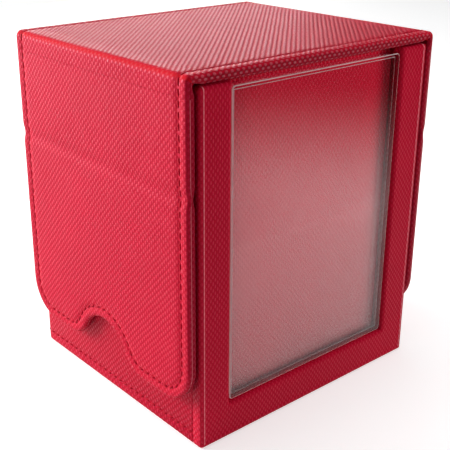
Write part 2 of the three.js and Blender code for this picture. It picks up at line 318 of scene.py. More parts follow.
def edge_profile(thickness, ridged=False):
    """A panel's edge, from the turned-in margin round to its plain field.

    Each step is (inset, depth, run, wear and painted highlight): run is the place on the flat cloth, in from
    the edge. Round the edge that value paints pale highlights."""
    r = min(EDGE_ROUND, 0.499 * thickness)
    side = thickness - 2 * r
    side_run = r - r * QUARTER
    back_run = side_run - side - r * QUARTER
    steps = [(MARGIN, thickness, back_run - (MARGIN - r), 0.0)]
    for depth, inset, run, _ in rounding(r, 4):
        steps.append((inset, thickness - depth, back_run + run, 0.0 if ridged else 0.4))
    ridge = EDGE_RIDGE * smoothstep(0.2 * MM, MM, side) if ridged else 0.0
    for share, sunk, wear_and_highlight in SIDE_STEPS:
        steps.append((sunk * ridge, r + side * share, side_run - side * share, wear_and_highlight if ridged else 0.8))
    for inset, depth, run, bulge in rounding(r, 4):
        steps.append((inset, depth, side_run + run, 0.15 * bulge if ridged else 0.5 + 0.3 * bulge))
    for offset, sunk in GROOVE:
        inset = STITCH_INSET + offset * GROOVE_HALF
        steps.append((inset, sunk * GROOVE_DEPTH, inset, 0.0 if sunk else 0.25))
    steps.append((FLAT_INSET, 0.0, FLAT_INSET, 0.0))
    return steps


def ridged_profile(thickness):
    return edge_profile(thickness, True)


def fading_profile(share):
    """An edge profile whose rubbed grain and painted highlights fade from the lid's edge to the flap's."""
    def profile(thickness):
        return [(inset, depth, run, wear_and_highlight * share) for inset, depth, run, wear_and_highlight in edge_profile(thickness)]
    return profile


def lining_profile(thickness):
    """The lining lies over the turned-in cloth and stands a little proud of it."""
    high = thickness + LINING_PROUD
    inner = LINING_INSET + LINING_EDGE
    return [
        (LINING_INSET, thickness - LINING_SUNK, LINING_INSET, 0),
        (LINING_INSET + LINING_BEVEL, high - LINING_BEVEL, LINING_INSET, 0),
        (inner, high, inner, 0),
    ]


# ---- The lid strip ----
# A station is one line across the strip: (x, z) on the outer face, its outward normal, the
# thickness there, the run along the cloth from the middle of the lid, and how far the strip's
# edges are drawn in.


def crease_dip(z):
    reach = min(1.0, abs(z - CREASE_Z) / CREASE_HALF)
    return CREASE_DIP * (0.5 + 0.5 * math.cos(math.pi * reach))


def flap_run(sign, z):
    """The run along the cloth at height z on a flap."""
    return sign * (FLAP_INNER + FOLD_RUN + LID_UNDER - z)


def flap_station(sign, z):
    dip = crease_dip(z)
    return (sign * (LID_HALF_W - dip), z), (sign, 0), LID_T - CREASE_PINCH * dip, flap_run(sign, z), 0.0


def flap_stations(sign):
    """Down a flap to FLAP_SPLIT, close together through the crease."""
    fine = [CREASE_Z + CREASE_HALF * (1 - i / 9) for i in range(19)]
    return [flap_station(sign, z) for z in [FLAP_SEAM_Z] + fine + [FLAP_SPLIT]]


def top_station(x):
    return (x, LID_TOP), (0, 1), LID_T, x, 0.0


def fold_stations(sign):
    """From the lid's top, round the fold, to the flap, with a flat FOLD_LEAD at either end."""
    stations = []
    straight = FOLD_LEAD + LID_T - FOLD_RADIUS
    arc = FOLD_RADIUS * QUARTER
    total = arc + 2 * straight
    for i in range(FOLD_STEPS + 1):
        s = total * i / FOLD_STEPS
        before = min(0.0, s - straight)
        after = max(0.0, s - straight - arc)
        a = (s - straight - before - after) / FOLD_RADIUS
        x = LID_HALF_W - FOLD_RADIUS + FOLD_RADIUS * math.sin(a) + before
        z = LID_TOP - FOLD_RADIUS + FOLD_RADIUS * math.cos(a) - after
        thicker = smoothstep(FOLD_EVEN, 0.95 * straight, after - before)
        thickness = FOLD_T + (LID_T - FOLD_T) * thicker
        run = sign * (FLAP_INNER - FOLD_LEAD + s)
        stations.append(((sign * x, z), (sign * math.sin(a), math.cos(a)), thickness, run, 0.0))
    return stations


def tucked(station, step):
    """A station a step further on, sunk a little, so that one piece's end lies under the next."""
    (x, z), (nx, nz), thickness, run, _ = station
    place = (x + step[0] - nx * TUCK, z + step[1] - nz * TUCK)
    further = (abs(step[0]) + abs(step[1])) * (-1 if run < 0 else 1)
    return place, (nx, nz), thickness - 2 * TUCK, run + further, TUCK


def painted_side_shade(depth):
    """Painted shade: the cloth on a panel's side and back is painted darker than on its face, as if in shade.
    """
    return smoothstep(*PAINTED_SHADE_DEPTHS, depth)


def station_row(station, profile_of):
    """The points across the strip at one station, from the -Y edge to the +Y edge."""
    (x, z), (nx, nz), thickness, run, narrower = station
    pulled = (2 * nx * nz) ** 2
    points = []
    profile = profile_of(thickness)
    for side, steps in ((-1, profile), (1, profile[::-1])):
        for inset, depth, edge_run, wear_and_highlight in steps:
            place = (x - nx * depth, side * (LID_HALF_D - narrower - inset), z - nz * depth)
            flat = (side * (LID_HALF_D - edge_run), run)
            points.append((place, flat, wear_and_highlight * (1 - pulled) - pulled, painted_side_shade(depth)))
    return points


def strip_rows(stations, profile_of):
    return [station_row(s, profile_of) for s in stations]


# ---- The lower flap: its outline, sampled with normals that point into the panel ----


def arc_samples(centre, radius, start, end, steps, inward):
    """Samples round an arc. inward is 1 where the panel lies towards the centre, else -1."""
    samples = []
    for i in range(steps + 1):
        a = start + (end - start) * i / steps
        direction = (math.cos(a), math.sin(a))
        place = (centre[0] + radius * direction[0], centre[1] + radius * direction[1])
        samples.append((place, (-inward * direction[0], -inward * direction[1])))
    return samples


def flap_outline(notched):
    """(y, z) samples from the -Y side at FLAP_SPLIT, down round the lower edge, and up the +Y side."""
    corner_y = LID_HALF_D - FLAP_CORNER
    corner_z = FLAP_BOTTOM + FLAP_CORNER
    samples = [((-LID_HALF_D, FLAP_SPLIT), (1, 0))]
    samples += arc_samples((-corner_y, corner_z), FLAP_CORNER, math.pi, 3 * QUARTER, CORNER_STEPS, 1)
    if notched:
        reach = NOTCH_RADIUS + NOTCH_FLARE
        flare_y = math.sqrt(reach**2 - NOTCH_FLARE**2)
        flare_z = FLAP_BOTTOM + NOTCH_FLARE
        turn = math.asin(NOTCH_FLARE / reach)
        samples += arc_samples((-flare_y, flare_z), NOTCH_FLARE, -QUARTER, -turn, FLARE_STEPS, 1)
        samples += arc_samples((0, FLAP_BOTTOM), NOTCH_RADIUS, math.pi - turn, turn, NOTCH_STEPS, -1)[1:]
        flare = arc_samples((flare_y, flare_z), NOTCH_FLARE, math.pi + turn, 3 * QUARTER, FLARE_STEPS, 1)
        samples += flare[1:]
    samples += arc_samples((corner_y, corner_z), FLAP_CORNER, 3 * QUARTER, 4 * QUARTER, CORNER_STEPS, 1)
    samples.append(((LID_HALF_D, FLAP_SPLIT), (-1, 0)))
    return samples


def add_flap_end(sheet, sign, notched, profile):
    """The lower end of a flap, as rings round its outline and a plain field inside them."""
    rings = []
    for inset, depth, edge_run, wear_and_highlight in profile:
        points = []
        for (y, z), (ny, nz) in flap_outline(notched):
            place = (sign * (LID_HALF_W - depth), y + ny * inset, z + nz * inset)
            flat = (y + ny * edge_run, flap_run(sign, z + nz * edge_run))
            points.append((place, flat, wear_and_highlight, painted_side_shade(depth)))
        rings.append(points)
    sheet.bm.faces.new(sheet.lay(rings)[-1])


def add_flap_cover(name, sign, notched, material):
    sheet = Sheet(LID_GRAIN)
    stations = flap_stations(sign)
    stations.insert(0, tucked(stations[0], (0, TUCK_LENGTH)))
    sheet.lay(strip_rows(stations, ridged_profile))
    add_flap_end(sheet, sign, notched, ridged_profile(LID_T))
    return sheet.finish(name, material)


def add_top_cover(name, material):
    sheet = Sheet(LID_GRAIN)
    stations = [top_station(TOP_SEAM_X * (-1 + i / 4)) for i in range(9)]
    stations.insert(0, tucked(stations[0], (-TUCK_LENGTH, 0)))
    stations.append(tucked(stations[-1], (TUCK_LENGTH, 0)))
    sheet.lay(strip_rows(stations, edge_profile))
    return sheet.finish(name, material)


def add_fold(name, sign, material):
    sheet = Sheet(LID_GRAIN)
    sheet.lay([station_row(s, fading_profile(s[1][1])) for s in fold_stations(sign)])
    return sheet.finish(name, material)


def add_flap_lining(name, sign, notched, material):
    sheet = Sheet()
    sheet.lay(strip_rows(flap_stations(sign), lining_profile))
    add_flap_end(sheet, sign, notched, lining_profile(LID_T))
    return sheet.finish(name, material, LINING_CLOTH)


def add_top_lining(name, material):
    sheet = Sheet()
    reach = FLAP_INNER - LINING_SHORT
    sheet.lay(strip_rows([top_station(-reach), top_station(reach)], lining_profile))
    return sheet.finish(name, material, LINING_CLOTH)


def add_fold_lining(name, sign, material):
    """The lining in the inner corner of a fold, from under the lid's lining to under the flap's."""
    reach = FLAP_INNER - FOLD_LINING_GAP
    low = LID_UNDER - FOLD_LINING_GAP
    bend = FOLD_LINING_BEND
    path = [(FLAP_INNER - FOLD_LINING_START, low)]
    for a in turns(12):
        path.append((reach - bend + bend * math.sin(a), low - bend + bend * math.cos(a)))
    path += [(reach, LID_UNDER - FOLD_LEAD * share) for share in FOLD_LINING_ENDS]
    places = [share * (LID_HALF_D - LINING_INSET) for share in ACROSS]
    run = 0.0
    rows = []
    for (x, z), (last_x, last_z) in zip(path, path[:1] + path):
        run += math.hypot(x - last_x, z - last_z)
        rows.append([((sign * x, y, z), (y, run), 0) for y in places])
    sheet = Sheet()
    sheet.lay(rows)
    return sheet.finish(name, material, FOLD_LINING_CLOTH)


# ---- Stitching ----


def evenly(points, pitch):
    """Places every pitch along a line of (place, normal) pairs: (place, along, normal)."""
    lengths = [(b[0] - a[0]).length for a, b in zip(points, points[1:])]
    total = sum(lengths)
    count = max(1, round(total / pitch))
    places = []
    for i in range(count):
        want = total * (i + 0.5) / count
        for (a, na), (b, nb), length in zip(points, points[1:], lengths):
            if want <= length:
                share = want / length
                along = (b - a).normalized()
                places.append((a.lerp(b, share), along, na.lerp(nb, share).normalized()))
                break
            want -= length
    return places


def add_stitch(bm, place, along, normal):
    """One stitch: a plump, slightly skewed thread that dives into the cloth at both ends."""
    across_it = normal.cross(along).normalized()
    along = (along + across_it * STITCH_SKEW).normalized()
    rings = []
    for i in range(STITCH_STEPS + 1):
        t = -1 + 2 * i / STITCH_STEPS
        swell = math.sqrt(max(0.02, 1 - t**4)) / 2
        centre = place + along * (t * STITCH_LENGTH / 2) - normal * (STITCH_DIVE * t * t)
        ring = []
        for k in range(STITCH_SIDES):
            a = 4 * QUARTER * k / STITCH_SIDES
            side = across_it * (math.cos(a) * STITCH_WIDTH * swell)
            rise = normal * (math.sin(a) * STITCH_HEIGHT * swell)
            ring.append(bm.verts.new(centre + side + rise))
        rings.append(ring)
    join_rings(bm, rings)
    cap_rings(bm, rings)


def add_stitching(name, lines, material):
    bm = bmesh.new()
    for points in lines:
        for place, along, normal in evenly(points, STITCH_PITCH):
            add_stitch(bm, place, along, normal)
    bmesh.ops.recalc_face_normals(bm, faces=bm.faces)
    return new_object(name, bm, material)


def stitched(place, normal):
    """A point of a stitch line: a little below the face at place, and the face's normal."""
    normal = Vector(normal)
    return Vector(place) - normal * STITCH_SUNK, normal


def strip_lines(stations):
    """Stitch lines along both edges of the strip, through the stations."""
    lines = []
    for y in (STITCH_INSET - LID_HALF_D, LID_HALF_D - STITCH_INSET):
        lines.append([stitched((x, y, z), (nx, 0, nz)) for (x, z), (nx, nz), *_ in stations])
    return lines


def flap_end_line(sign, notched):
    line = []
    for (y, z), (ny, nz) in flap_outline(notched):
        place = (sign * LID_HALF_W, y + ny * STITCH_INSET, z + nz * STITCH_INSET)
        line.append(stitched(place, (sign, 0, 0)))
    return line


def body_stitch_line():
    return [stitched((x, y, BODY_STITCH_Z), (nx, ny, 0)) for (x, y), (nx, ny) in wall_path()[1:-1]]


# ---- Rounded plates (base, linings) and the body's wrap ----


def rounded_outline(half_u, low_v, high_v, radius, steps=6):
    """(u, v) points and inward normals round a rectangle with rounded corners."""
    low, high = low_v + radius, high_v - radius
    samples = []
    for i, (side, v) in enumerate(((1, high), (-1, high), (-1, low), (1, low))):
        centre = (side * (half_u - radius), v)
        samples += arc_samples(centre, radius, QUARTER * i, QUARTER * i + QUARTER, steps, 1)
    return samples


def add_plate(name, outline, edge, place, material):
    """A closed flat plate: edge is a list of (inset, depth, wear and painted highlight) from the back, round
    to the face.

    place turns (u, v, depth) into a point. Depth 0 is the face."""
    sheet = Sheet(WALL_GRAIN)
    rings = []
    for inset, depth, wear_and_highlight in edge:
        points = []
        for (u, v), (nu, nv) in outline:
            at = (u + nu * inset, v + nv * inset)
            flat = (u + nu * (inset - depth), v + nv * (inset - depth))
            points.append((place(at[0], at[1], depth), flat, wear_and_highlight))
        rings.append(points)
    cap_rings(sheet.bm, sheet.lay(rings, closed=True))
    sheet.bm.normal_update()
    bmesh.ops.recalc_face_normals(sheet.bm, faces=sheet.bm.faces)
    sheet.lay_cloth()
    return new_object(name, sheet.bm, material)


def round_edge(radius):
    """Edge steps for add_plate: a rounded front edge, and a smaller rounding at the back."""
    back = 0.3 * radius
    steps = [(back, PLATE_T, 0.0), (0.0, PLATE_T - back, 0.0)]
    steps += [(inset, depth, bulge) for inset, depth, _, bulge in rounding(radius, 4)]
    steps.append((radius + PLATE_EDGE, 0.0, 0.0))
    return steps


def wall_path():
    """Plan of the wall's outer face, from the left seam, round the back, to the right seam."""
    r = WALL_CORNER
    path = [((-BODY_HALF_W, y), (-1, 0)) for y in (SEAM_Y, SEAM_Y + SEAM_EDGE)]
    for cx, start in ((-BODY_HALF_W + r, 2 * QUARTER), (BODY_HALF_W - r, QUARTER)):
        for a in turns(8):
            direction = (math.cos(start - a), math.sin(start - a))
            path.append(((cx + r * direction[0], BODY_HALF_D - r + r * direction[1]), direction))
    path += [((BODY_HALF_W, y), (1, 0)) for y in (SEAM_Y + SEAM_EDGE, SEAM_Y)]
    return path


def wall_profile():
    """(z, depth behind the outer face, cloth height, wear and painted highlight) from inside the top, over
    it, and down. Over the top's rounding it paints a pale highlight.
    """
    r = WALL_ROUND
    steps = [(BODY_TOP - WALL_MARGIN, WALL_T, BODY_TOP + WALL_T + WALL_MARGIN, 0.0)]
    for a in turns(8, math.pi):
        depth = WALL_T / 2 * (1 + math.cos(a))
        height = BODY_TOP + r * (1 - a / QUARTER)
        steps.append((BODY_TOP - r + r * math.sin(a), depth, height, 0.5 + 0.5 * math.sin(a)))
    for offset, sunk in GROOVE[::-1]:
        z = BODY_STITCH_Z + offset * GROOVE_HALF
        steps.append((z, sunk * GROOVE_DEPTH, z, 0.0))
    for depth, lift, _, bulge in rounding(FOOT_ROUND, 4):
        steps.append((UNDERSIDE_GAP + lift, depth, UNDERSIDE_GAP + lift, 0.5 * bulge))
    steps.append((UNDERSIDE_GAP, WALL_T, UNDERSIDE_GAP - WALL_T, 0.0))
    return steps


def add_wall_wrap(name, material):
    sheet = Sheet(WALL_GRAIN)
    path = wall_path()
    rows = []
    run = 0.0
    for i, ((x, y), (nx, ny)) in enumerate(path):
        (last_x, last_y), _ = path[max(0, i - 1)]
        run += math.hypot(x - last_x, y - last_y)
        tuck = SEAM_DIP if i in (0, len(path) - 1) else 0.0
        points = []
        for z, depth, height, wear_and_highlight in wall_profile():
            inner = min(depth + tuck, WALL_T)
            points.append(((x - nx * inner, y - ny * inner, z), (run, height), wear_and_highlight))
        rows.append(points)
    sheet.lay(rows)
    return sheet.finish(name, material)


# ---- The window frame and the panel behind the clear case ----


def frame_rings():
    """Rings of the window frame, outer back edge to inner back edge.

    Each is (half width, lowest z, corner radius, y, cloth inset, wear and painted highlight)."""
    rings = []
    edge_run = FRAME_ROUND * (1 - QUARTER)
    side_run = edge_run - (SEAM_Y - FRONT - FRAME_ROUND)
    field = FRONT + RIDGE
    width = BODY_HALF_W - WINDOW_HALF

    def outer(inset, y, run, wear_and_highlight):
        radius = max(LEAST_CORNER, FRAME_CORNER - inset)
        rings.append((BODY_HALF_W - inset, UNDERSIDE_GAP + inset, radius, y, run, wear_and_highlight))

    def inner(outset, y, run, wear_and_highlight):
        rings.append((WINDOW_HALF + outset, WINDOW_SILL - outset, WINDOW_CORNER + outset, y, run, wear_and_highlight))

    outer(SEAM_DIP, SEAM_Y - SEAM_GAP, side_run, 0.0)
    outer(0, SEAM_Y - SEAM_EDGE, side_run + SEAM_EDGE, 0.0)
    for inset, depth, run, bulge in rounding(FRAME_ROUND, 6):
        outer(inset, FRONT + depth, edge_run + run, 0.3 * bulge)
    for step, sunk, wear_and_highlight in RIDGE_STEPS:
        inset = FRAME_ROUND + step * MM
        outer(inset, FRONT + sunk * RIDGE, inset, wear_and_highlight)
    field_edge = WINDOW_ROUND + WINDOW_EDGE
    inner(field_edge, field, width - field_edge, 0.0)
    for depth, outset, run, bulge in rounding(WINDOW_ROUND, 5):
        inner(outset, field + depth, width - WINDOW_ROUND + run, 0.25 * bulge)
    inner(0, FRAME_REAR, width + (FRAME_REAR - FRONT), 0.0)
    return rings


def add_window_frame(name, material):
    """A U-shaped frame of wrapped board: two rails, the sill rail, and rounded tops under the lid."""
    rings = frame_rings()

    def section(side, turn):
        """Points across the top of one rail. turn is 0 where the rounding starts and 1 at its crown."""
        z = BODY_TOP - FRAME_TOP_ROUND * (1 - math.sin(QUARTER * turn))
        back = FRAME_TOP_ROUND * (1 - math.cos(QUARTER * turn))
        points = []
        for half, _, _, y, run, wear_and_highlight in rings:
            place = (side * min(half, BODY_HALF_W - back), max(y, FRONT + back), z)
            points.append((place, (side * (BODY_HALF_W - run), z), wear_and_highlight))
        return points

    rows = [section(-1, i / 4) for i in range(4, -1, -1)]
    for side, start in ((-1, 2 * QUARTER), (1, 3 * QUARTER)):
        for a in turns(5):
            sine, cosine = math.sin(start + a), math.cos(start + a)
            points = []
            for half, low, radius, y, run, wear_and_highlight in rings:
                x = side * (half - radius) + radius * cosine
                z = low + radius + radius * sine
                slide = run - (BODY_HALF_W - half)
                points.append(((x, y, z), (x - cosine * slide, z - sine * slide), wear_and_highlight * abs(cosine)))
            rows.append(points)
    rows += [section(1, i / 4) for i in range(5)]
    sheet = Sheet(FRONT_GRAIN)
    made = sheet.lay(rows)
    for end in (made[0], made[-1]):
        sheet.bm.faces.new(end)
    return sheet.finish(name, material)


def add_display_backing(name, material):
    """The panel behind the clear case: cloth up its face, over the top, and down into the room."""
    face = BACKING_LOW.y
    r = (BACKING_HIGH.y - face) / 2
    low = BACKING_LOW.z + BACKING_LIFT
    profile = [(face, low, low, 0.0), (face, BODY_TOP - r, BODY_TOP - r, 0.3)]
    for a in turns(8, math.pi)[1:]:
        z = BODY_TOP - r + r * math.sin(a)
        profile.append((face + r - r * math.cos(a), z, BODY_TOP + r * (a - 1), 0.5 + 0.5 * math.sin(a)))
    profile.append((face + 2 * r, BODY_TOP - BACKING_MARGIN, BODY_TOP + BACKING_OVER, 0.0))
    sheet = Sheet(FRONT_GRAIN)
    places = [share * BACKING_HIGH.x for share in ACROSS]
    sheet.lay([[((x, y, z), (x, v), wear_and_highlight) for y, z, v, wear_and_highlight in profile] for x in places])
    return sheet.finish(name, material)


# ---- The clear case ----


def add_case_part(name, node_name, section, rims, walls, material):
    """A closed clear body, made of rings round its CAD node's outline.

    section holds each ring's (inset from the outline, y). rims holds the numbers of the rings that lie on a
    polished edge, where a pale highlight is painted, and walls those on a clear side wall."""
    low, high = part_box(node_name)
    bm = bmesh.new()
    rim = bm.verts.layers.float.new("rim")
    rings = []
    for i, (inset, y) in enumerate(section):
        corner = max(CASE_LEAST_CORNER, CASE_CORNER - inset)
        outline = rounded_outline(high.x - inset, low.z + inset, high.z - inset, corner, 5)
        rings.append([bm.verts.new((u, y, v)) for (u, v), _ in outline])
        for vert in rings[-1]:
            vert[rim] = 1.0 if i in rims else -1.0 if i in walls else 0.0
    join_rings(bm, rings)
    cap_rings(bm, rings)
    bmesh.ops.recalc_face_normals(bm, faces=bm.faces)
    return new_object(name, bm, material, smooth=False)


def add_case_cover(name, material):
    """The shallow clear cover: a tray whose floor is the front window."""
    low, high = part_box("case_cover")
    section = [(inset, low.y + depth) for inset, depth, *_ in rounding(CASE_EDGE, 5)[::-1]]
    section += [(0, high.y), (CASE_WALL, high.y)]
    for inset, depth, *_ in rounding(CASE_INNER_EDGE, 3):
        section.append((CASE_WALL + inset, low.y + CASE_WALL + depth))
    return add_case_part(name, "case_cover", section, (1, 2, 3, 4, 9, 10), (6, 7, 8), material)


def add_case_back(name, material):
    """The case's back plate, with a raised field that fits inside the cover's walls."""
    low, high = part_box("case_back")
    rim_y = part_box("case_cover")[1].y + CASE_GAP
    step = CASE_WALL + CASE_PLAY
    edge = CASE_INNER_EDGE
    section = [(edge, high.y), (0, high.y - edge), (0, rim_y), (step, rim_y), (step, low.y + edge)]
    section.append((step + edge, low.y))
    return add_case_part(name, "case_back", section, (), (1, 2, 3, 4), material)


# ---- Materials ----


class Nodes:
    """Short hand for building the nodes of a material or a world."""

    def __init__(self, owner):
        owner.use_nodes = True
        self.owner = owner
        self.tree = owner.node_tree
        self.tree.nodes.clear()

    def add(self, kind, **settings):
        node = self.tree.nodes.new(kind)
        for key, value in settings.items():
            setattr(node, key, value)
        return node

    def link(self, source, target):
        self.tree.links.new(source, target)

    def feed(self, socket, value):
        if isinstance(value, bpy.types.NodeSocket):
            self.link(value, socket)
        else:
            socket.default_value = value

    def math(self, operation, a, b=0.0):
        node = self.add("ShaderNodeMath", operation=operation)
        self.feed(node.inputs[0], a)
        self.feed(node.inputs[1], b)
        return node.outputs[0]

    def times(self, a, b):
        return self.math("MULTIPLY", a, b)

    def split(self, vector):
        node = self.add("ShaderNodeSeparateXYZ")
        self.link(vector, node.inputs[0])
        return node.outputs

    def noise(self, vector, scale, detail=3.0, roughness=0.55, result="Fac", **settings):
        node = self.add("ShaderNodeTexNoise", **settings)
        self.link(vector, node.inputs["Vector"])
        node.inputs["Scale"].default_value = scale
        node.inputs["Detail"].default_value = detail
        node.inputs["Roughness"].default_value = roughness
        return node.outputs[result]

    def spread(self, value, from_low, from_high, to_low, to_high, smooth=False):
        node = self.add("ShaderNodeMapRange", clamp=True)
        if smooth:
            node.interpolation_type = "SMOOTHSTEP"
        self.feed(node.inputs["Value"], value)
        for socket, amount in zip(("From Min", "From Max", "To Min", "To Max"),
                                  (from_low, from_high, to_low, to_high)):
            node.inputs[socket].default_value = amount
        return node.outputs["Result"]

    def mix(self, factor, a, b, blend="MIX"):
        node = self.add("ShaderNodeMix", data_type="RGBA", blend_type=blend)
        self.feed(node.inputs[0], factor)
        self.feed(node.inputs[6], a)
        self.feed(node.inputs[7], b)
        return node.outputs[2]

    def bump(self, height, distance, strength=1.0):
        node = self.add("ShaderNodeBump")
        node.inputs["Distance"].default_value = distance
        node.inputs["Strength"].default_value = strength
        self.link(height, node.inputs["Height"])
        return node.outputs["Normal"]

    def attribute(self, name):
        return self.add("ShaderNodeAttribute", attribute_name=name).outputs["Fac"]

    def place(self):
        return self.add("ShaderNodeTexCoord").outputs["Object"]

    def shader(self, **inputs):
        node = self.add("ShaderNodeBsdfPrincipled")
        for key, value in inputs.items():
            self.feed(node.inputs[key.replace("_", " ")], value)
        return node.outputs["BSDF"]

    def blend(self, factor, a, b):
        node = self.add("ShaderNodeMixShader")
        self.feed(node.inputs[0], factor)
        self.link(a, node.inputs[1])
        self.link(b, node.inputs[2])
        return node.outputs[0]

    def output(self, shader, kind="Material"):
        self.link(shader, self.add("ShaderNodeOutput" + kind).inputs["Surface"])
        return self.owner

    def finished(self, colour, rough, normal, **inputs):
        """The material itself, made of one shader."""
        return self.output(self.shader(Base_Color=colour, Roughness=rough, Normal=normal, **inputs))


def new_material(name):
    return Nodes(bpy.data.materials.new(name))


# Linear colours of the leatherette: in the hollows between the beads with painted shade, on the beads with
# painted light, and where it is specked, turned round an edge, in painted shade on a panel's side, stretched
# round a fold, painted with a pale highlight, or shining.
LEATHER_SHADED_VALLEYS = ((0.52, 0.0036, 0.022, 1), (0.56, 0.0040, 0.026, 1))
LEATHER_LIT_CROWNS = ((0.62, 0.006, 0.042, 1), (0.68, 0.008, 0.046, 1))
LEATHER_SPECK = (0.34, 0.002, 0.014, 1)
LEATHER_EDGE = (0.72, 0.006, 0.026, 1)
LEATHER_PAINTED_SHADE = (0.17, 0.0016, 0.008, 1)
LEATHER_FOLD = (0.62, 0.002, 0.010, 1)
LEATHER_PAINTED_HIGHLIGHT = (0.86, 0.26, 0.32, 1)
LEATHER_SHINE = (1.0, 0.475, 0.77, 1)


def leatherette(name, brightness, relief):
    """Embossed red cloth. brightness scales its colour, and relief is the beads' height in metres.

    The attribute for wear and painted highlight is above 0 where an edge is rubbed and painted pale, and
    below 0 where a fold pulls the grain smooth. The painted shade attribute is above 0 where shade is painted
    darker into the colour."""
    n = new_material(name)
    cloth = n.add("ShaderNodeUVMap", uv_map="cloth").outputs["UV"]
    wobble = n.noise(cloth, 0.5, 1.0, 0.5, "Color", noise_dimensions="2D")
    shifted = n.add("ShaderNodeVectorMath", operation="MULTIPLY_ADD")
    n.link(wobble, shifted.inputs[0])
    shifted.inputs[1].default_value = (0.16, 0.16, 0.0)
    n.link(cloth, shifted.inputs[2])
    parts = n.split(shifted.outputs["Vector"])

    def waves(axis, count):
        return n.math("COSINE", n.times(parts[axis], count * 2 * math.pi))

    lattice = n.times(n.times(waves("X", 1), waves("Y", 1)), 0.8)
    lattice = n.math("ADD", lattice, n.times(waves("X", 2), 0.2))
    bead = n.spread(lattice, -0.25, 0.6, 0.0, 1.0, smooth=True)
    fine = n.noise(cloth, 5.0, 4.0, 0.6)
    cloud = n.spread(n.noise(cloth, 0.08, 3.0, 0.6), 0.3, 0.7, 0.0, 1.0)
    wear_and_highlight = n.attribute("wear_and_highlight")
    pulled = n.spread(wear_and_highlight, -1.0, -0.1, 1.0, 0.0)
    beads = n.times(bead, n.spread(wear_and_highlight, -0.8, 0.0, 0.12, 1.0))
    height = n.math("ADD", beads, n.times(fine, 0.18))
    # painted light and shade: the beads' crowns are coloured lighter and the hollows between them darker
    colour = n.mix(bead, n.mix(cloud, *LEATHER_SHADED_VALLEYS), n.mix(cloud, *LEATHER_LIT_CROWNS))
    colour = n.mix(n.spread(fine, 0.45, 0.75, 0.0, 0.18), colour, LEATHER_SPECK)
    colour = n.mix(n.spread(wear_and_highlight, 0.0, 0.7, 0.0, 0.6), colour, LEATHER_EDGE)
    # painted shade on the cloth of a panel's sides and back
    colour = n.mix(n.times(n.attribute("painted_shade"), 0.5), colour, LEATHER_PAINTED_SHADE)
    # painted highlights: pale bead crowns along rubbed edges, and a pale line where the wear value nears 1
    colour = n.mix(n.times(bead, n.spread(wear_and_highlight, 0.25, 0.8, 0.0, 0.4)), colour, LEATHER_PAINTED_HIGHLIGHT)
    colour = n.mix(n.spread(wear_and_highlight, 0.8, 1.0, 0.0, 0.65), colour, LEATHER_PAINTED_HIGHLIGHT)
    colour = n.mix(pulled, colour, LEATHER_FOLD)
    colour = n.mix(1.0, colour, (brightness, brightness, brightness, 1), "MULTIPLY")
    rough = n.math("SUBTRACT", n.spread(fine, 0.3, 0.7, 0.66, 0.76), n.times(bead, 0.32))
    rough = n.math("ADD", rough, n.times(pulled, 0.15))
    shine = {"IOR": 1.5, "Specular_IOR_Level": 0.15, "Specular_Tint": LEATHER_SHINE}
    return n.finished(colour, rough, n.bump(height, relief), **shine)


def thread():
    n = new_material("dark_red_thread")
    place = n.place()
    strands = n.noise(place, 5200.0, 2.0, 0.7)
    broad = n.noise(place, 300.0, 2.0)
    colour = n.mix(strands, (0.32, 0.003, 0.013, 1), (0.48, 0.005, 0.022, 1))
    colour = n.mix(n.spread(broad, 0.35, 0.65, 0.0, 0.3), colour, (0.30, 0.004, 0.016, 1))
    rough = n.spread(strands, 0.2, 0.8, 0.5, 0.75)
    shine = {"Specular_IOR_Level": 0.08, "Specular_Tint": LEATHER_SHINE}
    return n.finished(colour, rough, n.bump(strands, 0.12 * MM, 0.7), **shine)


def microfibre():
    n = new_material("dark_red_microfibre")
    cloth = n.add("ShaderNodeUVMap", uv_map="cloth").outputs["UV"]
    nap = n.noise(cloth, 7.0, 5.0, 0.7)
    stroke = n.noise(cloth, 0.1, 3.0, 0.6)
    colour = n.mix(nap, (0.075, 0.004, 0.010, 1), (0.16, 0.010, 0.022, 1))
    colour = n.mix(n.spread(stroke, 0.4, 0.62, 0.0, 0.45), colour, (0.20, 0.014, 0.028, 1))
    rough = n.spread(stroke, 0.3, 0.7, 0.85, 0.98)
    sheen = {"Sheen_Weight": 0.35, "Sheen_Roughness": 0.5, "Sheen_Tint": (1.0, 0.55, 0.6, 1)}
    return n.finished(colour, rough, n.bump(nap, 0.22 * MM, 0.8), **sheen)


def greyboard():
    n = new_material("greyboard")
    place = n.place()
    pulp = n.noise(place, 1800.0, 5.0, 0.7)
    flecks = n.noise(place, 420.0, 2.0, 0.5)
    colour = n.mix(pulp, (0.20, 0.18, 0.15, 1), (0.36, 0.33, 0.28, 1))
    colour = n.mix(n.spread(flecks, 0.62, 0.72, 0.0, 0.6), colour, (0.12, 0.11, 0.10, 1))
    rough = n.spread(pulp, 0.2, 0.8, 0.8, 0.95)
    return n.finished(colour, rough, n.bump(pulp, 0.1 * MM, 0.6))


def nickel():
    n = new_material("nickel_plate")
    scuffs = n.noise(n.place(), 900.0, 4.0, 0.7)
    colour = n.mix(scuffs, (0.52, 0.52, 0.53, 1), (0.68, 0.67, 0.65, 1))
    rough = n.spread(scuffs, 0.3, 0.7, 0.18, 0.4)
    return n.finished(colour, rough, n.bump(scuffs, 0.02 * MM, 0.5), Metallic=1.0)


